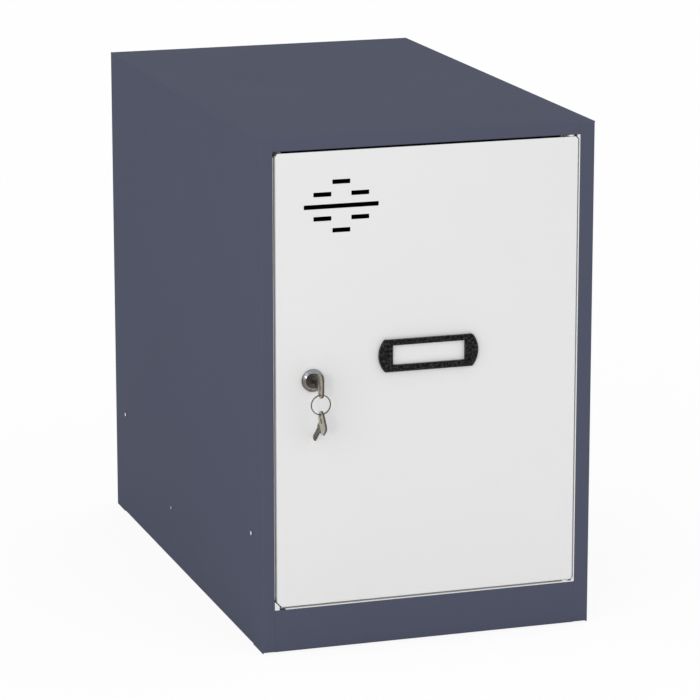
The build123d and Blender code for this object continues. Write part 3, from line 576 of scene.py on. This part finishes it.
def slotOutline(look):
    low = -look["bowHeight"] / 2 + look["holeEdge"] + look["holeRadius"] + look["slotGap"]
    radius = look["slotWidth"] / 2
    bottom = (0, low + radius)
    top = (0, low + look["slotLength"] - radius)
    return arcPoints(bottom, radius, 180, 360, 10) + arcPoints(top, radius, 0, 180, 10)


def bladeHalfHeight(look, along, side):
    # along is the distance from the bow; side is 1 for the upper edge, -1 for the lower
    half = look["bladeHeight"] / 2
    if along < look["shoulderLength"]:
        return look["shoulderHeight"] / 2
    point = look["bladeHeight"] / 3
    left = look["bladeLength"] - along
    height = half if left > point else half - (point - left)
    for index in range(look["cuts"]):
        middle = look["bladeLength"] - point - look["cutRadius"] - index * look["cutPitch"]
        middle -= (1 - side) * look["cutPitch"] / 4
        reach = abs(along - middle)
        if reach < look["cutRadius"]:
            bite = math.sqrt(look["cutRadius"] ** 2 - reach ** 2)
            height = min(height, half + look["cutRadius"] - look["cutDepth"] - bite)
    return height


def addBlade(build, look, place):
    # grooved blade along X of place, from just inside the bow to its tip
    half = look["bladeThickness"] / 2
    rim = look["bladeEdge"]
    rings = []
    start, steps = look["shoulderLength"], look["bladeSteps"]
    stations = [-0.0008, start - 0.0003, start - 0.00001, start]
    for step in range(1, steps + 1):
        stations.append(start + (look["bladeLength"] - start) * step / steps)
    for along in stations:
        up = bladeHalfHeight(look, along, 1)
        down = -bladeHalfHeight(look, along, -1)
        fade = min(1.0, max(0.05, (look["bladeLength"] - along) / 0.0015))
        deep = look["groove"] * fade
        points = []
        for side, low, high in ((1, -0.0011, 0.0003), (-1, -0.0003, 0.0011)):
            low, high = max(low, down + 2 * rim), min(high, up - 2 * rim)
            edge = [(half - rim, down), (half, down + rim), (half, low), (half - deep, low + deep / 2),
                    (half - deep, high - deep / 2), (half, high), (half, up - rim), (half - rim, up)]
            points += edge if side > 0 else [(-x, y) for x, y in reversed(edge)]
        rings.append([place @ Vector((along, z, x)) for x, z in points])
    skin(build, rings)


def makeKey(name, look, place, body, stoodFor):
    # place has X along the blade, Y up the bow and Z across its thickness
    build = bmesh.new()
    hole = arcPoints((0, -look["bowHeight"] / 2 + look["holeEdge"]), look["holeRadius"], 0, 345, 23)
    pressedPlate(build, bowOutline(look), [hole, slotOutline(look)], look["thickness"], look["edge"], place)
    bladePlace = place @ Matrix.Translation((look["bowDepth"] / 2, 0, 0))
    addBlade(build, look, bladePlace)
    axes = place.to_3x3()
    build.normal_update()
    # blade faces take the blade tone; rim faces take the dark nickel copy that paints the shade on the bow's
    # edges
    for face in build.faces:
        if (face.calc_center_median() - place.translation).dot(axes.col[0]) > look["bowDepth"] / 2:
            face.material_index = 2
        elif abs(face.normal.dot(axes.col[2])) < look["rimTurn"]:
            face.material_index = 1
    pieceFrom(name, build, (nickel, keyRimShade, keyBlade), body, "key_nickel", stoodFor)


def keyAxes():
    # key's own X along the blade is the part's +Y, its Y is +Z, its Z is +X
    return Matrix(((0, 0, 1, 0), (1, 0, 0, 0), (0, 1, 0, 0), (0, 0, 0, 1)))


def makeKeys(look):
    middle = Vector((lockX, keyLow.y + look["bowDepth"] / 2, lockZ))
    makeKey("doorKey", look, Matrix.Translation(middle) @ keyAxes(), "key", "key")
    ringY = (ringLow.y + ringHigh.y) / 2
    ringWire = (ringHigh.y - ringLow.y) / 2
    holeZ = ringLow.z + ringWire - (look["holeRadius"] - ringWire - 0.00015)
    turn = Matrix.Rotation(math.radians(180 - look["spareTilt"]), 4, "X") @ Matrix.Rotation(math.pi, 4, "Z")
    hang = Matrix.Translation((0, 0, look["bowHeight"] / 2 - look["holeEdge"]))
    spot = Matrix.Translation((lockX, ringY, holeZ))
    makeKey("spareKey", look, spot @ turn @ hang @ keyAxes(), "spare_key", "spare_key")


makeKeys(keyLook)
print("keys cut")

# split ring, two turns of flat wire with a jog

ringLook = {"turns": 2, "wireAcross": 0.0005, "wireAlong": 0.00026, "jog": 34.0, "steps": 240, "section": 12}


def makeSplitRing(look):
    build = bmesh.new()
    centre = (ringLow + ringHigh) / 2
    radius = (ringHigh.x - ringLow.x) / 2 - look["wireAcross"]
    gap = look["wireAlong"] * 1.04
    total = 360.0 * look["turns"] - 8.0
    rings = []
    for step in range(look["steps"] + 1):
        degrees = total * step / look["steps"]
        start = 360.0 - look["jog"]
        rise = min(1.0, max(0.0, (degrees - start) / look["jog"]))
        rise = rise * rise * (3 - 2 * rise)
        height = -gap + 2 * gap * rise
        angle = math.radians(degrees + 62)
        outward = Vector((math.cos(angle), 0, math.sin(angle)))
        middle = centre + outward * radius + Vector((0, height, 0))
        ring = []
        for corner in range(look["section"]):
            turn = 2 * math.pi * corner / look["section"]
            across = look["wireAcross"] * math.copysign(abs(math.cos(turn)) ** 0.6, math.cos(turn))
            along = look["wireAlong"] * math.copysign(abs(math.sin(turn)) ** 0.6, math.sin(turn))
            ring.append(middle + outward * across + Vector((0, along, 0)))
        rings.append(ring)
    skin(build, rings)
    pieceFrom("splitRing", build, ringSteel, "key_ring", "zinc_steel", "key_ring", sharpAngle=60)


makeSplitRing(ringLook)
print("split ring wound")

# blank name card with rounded corners and a faint bow

cardShape = {"corner": 0.0012, "bow": 0.00006, "thinned": 0.00004, "columns": 36}


def makeNameCard(look):
    build = bmesh.new()
    width = cardHigh.x - cardLow.x
    centreX = (cardHigh.x + cardLow.x) / 2
    rings = []
    for column in range(look["columns"] + 1):
        across = -1 + 2 * column / look["columns"]
        x = centreX + across * width / 2
        inside = width / 2 * (1 - abs(across))
        trim = 0.0
        if inside < look["corner"]:
            trim = look["corner"] - math.sqrt(look["corner"] ** 2 - (look["corner"] - inside) ** 2)
        bend = look["bow"] * (1 - across ** 2)
        near, far = cardLow.y + look["thinned"] - bend / 2, cardHigh.y - look["thinned"] - bend / 2
        low, high = cardLow.z + trim, cardHigh.z - trim
        corners = ((near, low), (near, high), (far, high), (far, low))
        rings.append([Vector((x, y, z)) for y, z in corners])
    skin(build, rings)
    pieceFrom("blankCard", build, cardStock, "name_card", "white_card", "name_card")


makeNameCard(cardShape)
print("card cut")

# caps and rivets on the sides

capLook = {
    "radius": 0.0026, "height": 0.0007, "stemRadius": 0.0021, "stemLength": 0.003, "dish": 0.0001,
    "bare": 0.0018, "steps": 40,
}
rivetLook = {
    "headRadius": 0.0025, "headHeight": 0.0008, "shankRadius": 0.0012, "tailRadius": 0.0019,
    "tailHeight": 0.0012, "gripped": 0.0017, "mandrel": 0.0007, "mandrelDepth": 0.0005,
    "bare": 0.0016, "steps": 40,
}


def paintRim(build, centres, bare):
    # faces outside the radius bare of the nearest centre take the paint
    for face in build.faces:
        middle = face.calc_center_median()
        if min(math.hypot(middle.y - y, middle.z - z) for y, z in centres) > bare:
            face.material_index = 1


def makeHoleCaps(look):
    build = bmesh.new()
    heightZ = (plugLow.z + plugHigh.z) / 2
    seat = plugLow.x + look["height"]
    spots = (plugLow.y + look["radius"], plugHigh.y - look["radius"])
    top, radius, stem = look["height"], look["radius"], look["stemRadius"]
    tip = top / 2 - look["stemLength"]
    profile = [(0, top - look["dish"]), (radius * 0.45, top - look["dish"] * 0.4), (radius * 0.7, top),
               (radius * 0.88, top - 0.00012), (radius * 0.98, top - 0.00036), (radius, 0.0001),
               (radius - 0.0001, 0), (stem * 0.96, 0), (stem * 0.96, -0.0012), (stem, -0.0016),
               (stem * 0.75, tip), (0, tip)]
    for y in spots:
        turned(build, profile, facing((-1, 0, 0), (seat, y, heightZ)), look["steps"])
    paintRim(build, [(y, heightZ) for y in spots], look["bare"])
    pieceFrom("holeCaps", build, (nylon, bodyPaint), "cabinet", "white_nylon", "side_hole_plugs")


def makeRivets(look):
    build = bmesh.new()
    middle = (rivetLow + rivetHigh) / 2
    wall = rivetHigh.x - look["headHeight"]
    top, radius, tail = look["headHeight"], look["headRadius"], look["tailRadius"]
    inside, sunk = -look["gripped"], top - look["mandrelDepth"]
    profile = [(0, sunk), (look["mandrel"] * 0.9, sunk), (look["mandrel"], top - 0.0001),
               (look["mandrel"] + 0.0001, top), (radius * 0.6, top - 0.00008), (radius * 0.85, top - 0.00028),
               (radius, 0.0001), (radius - 0.0001, 0), (look["shankRadius"], 0),
               (look["shankRadius"], inside), (tail, inside - 0.0001),
               (tail * 0.95, inside - look["tailHeight"] * 0.7),
               (tail * 0.6, inside - look["tailHeight"]), (0, inside - look["tailHeight"])]
    for side in (-1, 1):
        turned(build, profile, facing((side, 0, 0), (side * wall, middle.y, middle.z)), look["steps"])
    paintRim(build, [(middle.y, middle.z)], look["bare"])
    pieceFrom("blindRivets", build, (zinc, bodyPaint), "cabinet", "zinc_steel", "floor_rivets")


makeHoleCaps(capLook)
makeRivets(rivetLook)
print("caps and rivets set")

# floor, light and camera

studioLook = {
    "floorSize": 14.0, "floorCells": 28, "floorDrop": 0.0003, "floorTone": (0.9, 0.9, 0.9),
    "floorWhite": 0.9, "roomLight": 0.9, "lampAim": 0.2,
    "whiteFor": ("Is Camera Ray", "Is Glossy Ray", "Is Transmission Ray"),
    "softboxPower": 16.0, "softboxSize": 2.4, "softboxSpot": (-2.3, -2.7, 1.3),
    "sparkPower": 10.0, "sparkSize": 0.25, "sparkSpot": (-1.8, -3.2, 0.95),
    "cameraSpot": (-1.0017, -3.0773, 0.986), "cameraYaw": 18.10, "cameraPitch": -13.55, "cameraLens": 186.0,
}


def rayKind(tree, *names):
    # 1 for rays of any of the named kinds
    path = tree.nodes.new("ShaderNodeLightPath")
    seen = path.outputs[names[0]]
    for name in names[1:]:
        most = tree.nodes.new("ShaderNodeMath")
        most.operation = "MAXIMUM"
        tree.links.new(seen, most.inputs[0])
        tree.links.new(path.outputs[name], most.inputs[1])
        seen = most.outputs["Value"]
    return seen


def blended(tree, amount, first, second):
    both = tree.nodes.new("ShaderNodeMixShader")
    if isinstance(amount, float):
        both.inputs["Fac"].default_value = amount
    else:
        tree.links.new(amount, both.inputs["Fac"])
    tree.links.new(first, both.inputs[1])
    tree.links.new(second, both.inputs[2])
    return both.outputs["Shader"]


def makeRoomLight(look):
    world = bpy.data.worlds.new("studioWorld")
    bpy.context.scene.world = world
    world.use_nodes = True
    tree = world.node_tree
    tree.nodes.remove(tree.nodes["Background"])
    walls = []
    for strength in (look["roomLight"], 1.0):
        wall = tree.nodes.new("ShaderNodeBackground")
        wall.inputs["Color"].default_value = (1, 1, 1, 1)
        wall.inputs["Strength"].default_value = strength
        walls.append(wall.outputs["Background"])
    lit = blended(tree, rayKind(tree, *look["whiteFor"]), *walls)
    tree.links.new(lit, tree.nodes["World Output"].inputs["Surface"])


def makeFloor(look):
    build = bmesh.new()
    cells = look["floorCells"]
    bmesh.ops.create_grid(build, x_segments=cells, y_segments=cells, size=look["floorSize"] / 2)
    bmesh.ops.translate(build, verts=build.verts, vec=(0, 0, -look["floorDrop"]))
    mesh = bpy.data.meshes.new("studioFloor")
    build.to_mesh(mesh)
    build.free()
    floor = bpy.data.objects.new("studioFloor", mesh)
    bpy.context.scene.collection.objects.link(floor)
    finish = Finish("floorPaper")
    tree = finish.tree
    seen = rayKind(tree, *look["whiteFor"])
    finish.link(finish.mixed(seen, look["floorTone"], (1.0, 1.0, 1.0)), finish.shader.inputs["Base Color"])
    finish.fixed(Roughness=0.95, Specular_IOR_Level=0.0)
    paper = tree.nodes.new("ShaderNodeEmission")
    paper.inputs["Strength"].default_value = 1.0
    white = blended(tree, look["floorWhite"], finish.shader.outputs["BSDF"], paper.outputs["Emission"])
    shown = blended(tree, seen, finish.shader.outputs["BSDF"], white)
    finish.link(shown, tree.nodes["Material Output"].inputs["Surface"])
    mesh.materials.append(finish.material)


def makeLamp(name, look):
    lamp = bpy.data.lights.new(name, "AREA")
    lamp.energy = look[name + "Power"]
    lamp.size = look[name + "Size"]
    holder = bpy.data.objects.new(name, lamp)
    bpy.context.scene.collection.objects.link(holder)
    holder.location = look[name + "Spot"]
    aim = Vector((0, frontPlane, look["lampAim"])) - holder.location
    holder.rotation_euler = aim.to_track_quat("-Z", "Y").to_euler()


def makeCamera(look):
    lens = bpy.data.cameras.new("photoCamera")
    lens.lens = look["cameraLens"]
    lens.sensor_width = 36.0
    camera = bpy.data.objects.new("photoCamera", lens)
    bpy.context.scene.collection.objects.link(camera)
    camera.location = look["cameraSpot"]
    camera.rotation_euler = (math.radians(90 + look["cameraPitch"]), 0, math.radians(-look["cameraYaw"]))
    bpy.context.scene.camera = camera


makeRoomLight(studioLook)
makeFloor(studioLook)
makeLamp("softbox", studioLook)
makeLamp("spark", studioLook)
makeCamera(studioLook)
bpy.context.scene.view_settings.view_transform = "Standard"
print("studio set up")
